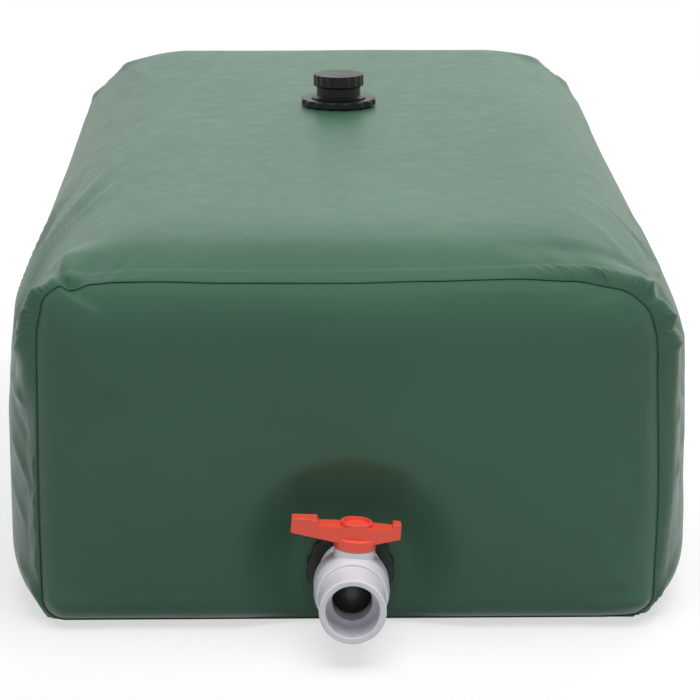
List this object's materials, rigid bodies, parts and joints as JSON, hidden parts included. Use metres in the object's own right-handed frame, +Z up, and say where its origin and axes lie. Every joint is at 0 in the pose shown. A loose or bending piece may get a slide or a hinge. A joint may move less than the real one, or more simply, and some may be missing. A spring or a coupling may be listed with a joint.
{
  "type": "collapsible water tank",
  "caption": "Collapsible fabric water tank, shown full, with a screw filler on top and a ball valve outlet low in the front panel.",
  "frame": {"origin": "on the floor under the filled bag, 830 mm behind the front seam", "axes": "+Z up, +Y from the outlet end to the rear end, +X to the right seen from the outlet end"},
  "size_m": [0.85, 1.8101, 0.5115],
  "materials": {
    "green_sheet": "semi-gloss coated tarpaulin with a faint weave",
    "white_plastic": "moulded white plastic, semi-gloss",
    "seat_white": "turned waxy white plastic",
    "red_plastic": "moulded red plastic, semi-gloss",
    "black_plastic": "moulded black plastic with a fine grain",
    "dark_ball": "turned and polished dark plastic",
    "black_rubber": "moulded seal rubber"
  },
  "bodies": {
    "tank": {"bag_wrap": "green_sheet", "front_panel": "green_sheet", "rear_panel": "green_sheet", "outlet_patch": "green_sheet", "outlet_outer_gasket": "black_rubber", "outlet_inner_gasket": "black_rubber", "outlet_locknut": "black_plastic", "outlet_connector": "black_plastic", "valve_body": "white_plastic", "valve_end_socket": "white_plastic", "valve_seat_front": "seat_white", "valve_seat_rear": "seat_white", "filler_neck": "black_plastic", "filler_inner_gasket": "black_rubber", "filler_outer_gasket": "black_rubber", "filler_locknut": "black_plastic"},
    "handle": {"valve_handle": "red_plastic", "valve_stem": "white_plastic", "valve_ball": "dark_ball", "stem_o_rings": "black_rubber"},
    "seal": {"cap_seal": "black_rubber"},
    "cap": {"filler_cap": "black_plastic"}
  },
  "joints": [
    {"name": "handle_turn", "type": "hinge", "parent": "tank", "child": "handle", "pos_m": [0, -0.91205, 0.072], "axis": [0.075, 0, 0.9972], "range_deg": [0, 90]},
    {"name": "cap_rise", "type": "slide", "parent": "tank", "child": "seal", "axis": [0, 0, 1], "range_m": [0, 0.0181]},
    {"name": "cap_turn", "type": "hinge", "parent": "seal", "child": "cap", "pos_m": [0, 0.168, 0.4985], "axis": [0, 0, 1], "range_deg": [0, 1080]}
  ],
  "couplings": [
    {"joint": "cap_rise", "follows": "cap_turn", "m_per_rad": 0.00095493}
  ]
}
